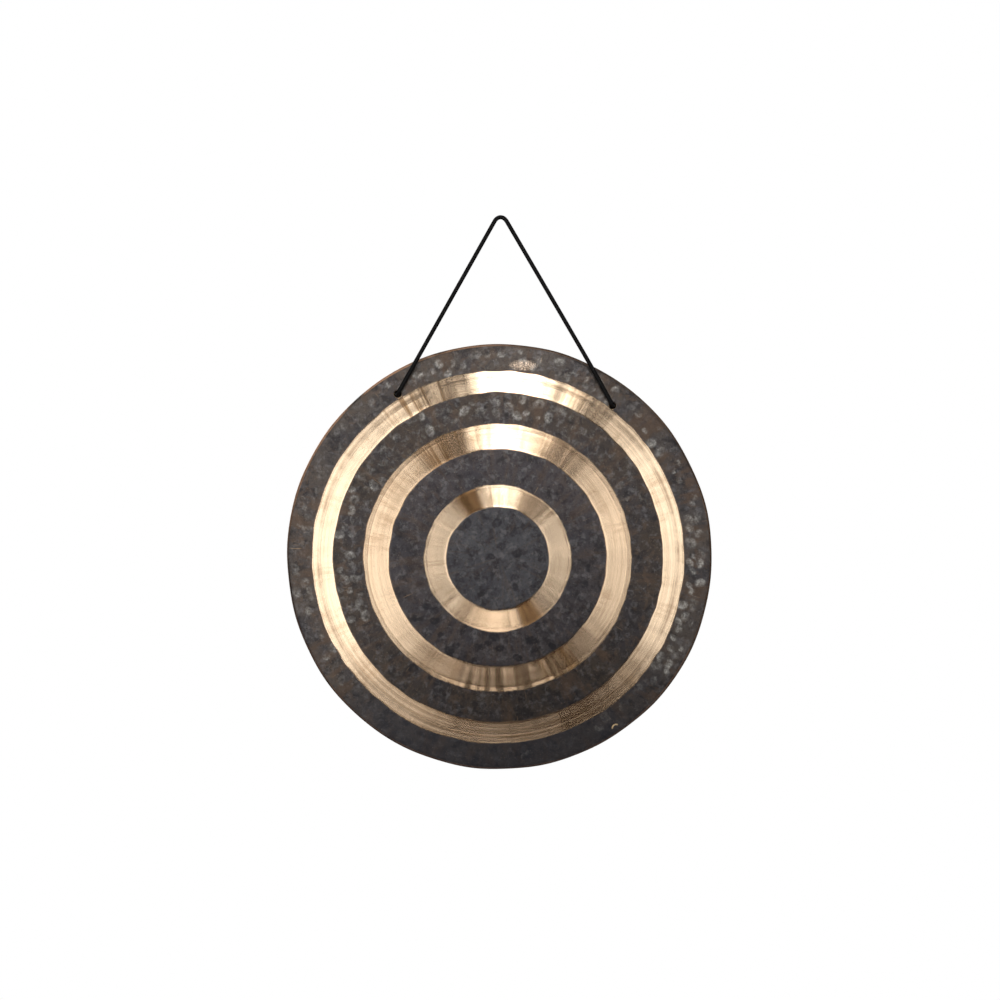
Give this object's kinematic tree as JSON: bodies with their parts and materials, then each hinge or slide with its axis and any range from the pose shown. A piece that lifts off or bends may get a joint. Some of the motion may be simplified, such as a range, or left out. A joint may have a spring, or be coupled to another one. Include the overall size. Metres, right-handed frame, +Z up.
{
  "type": "tam tam gong",
  "caption": "Hammered bronze gong with scraped concentric bands and a turned-back rim, hung by a braided cord that is knotted behind it.",
  "frame": {"origin": "the underside of the hanging cord where it bears on the hook", "axes": "+Z is up; the gong faces -Y; +X is to the right as seen from the front"},
  "size_m": [0.5, 0.0366, 0.65],
  "materials": {
    "bronze": "hammered, oxidised, with scraped and brushed bands",
    "cord": "braided polyester"
  },
  "bodies": {
    "hook_cord": {"cord_bight": "cord"},
    "hanger": {"cord_neck_left": "cord", "cord_neck_right": "cord", "cord_leg_left": "cord", "cord_leg_right": "cord"},
    "gong": {"gong_plate": "bronze", "cord_end_left": "cord", "cord_end_right": "cord", "knot_left": "cord", "knot_right": "cord"}
  },
  "joints": [
    {"name": "swing", "type": "hinge", "parent": "hook_cord", "child": "hanger", "pos_m": [0, 0, 0], "axis": [1, 0, 0], "range_deg": [-20, 20], "deforming": ["cord_neck_left", "cord_neck_right"]},
    {"name": "nod", "type": "hinge", "parent": "hanger", "child": "gong", "pos_m": [0.00635, 0, -0.2109], "axis": [0.9987, 0, -0.0507], "range_deg": [-12, 5], "deforming": ["cord_end_left", "cord_end_right"]}
  ]
}
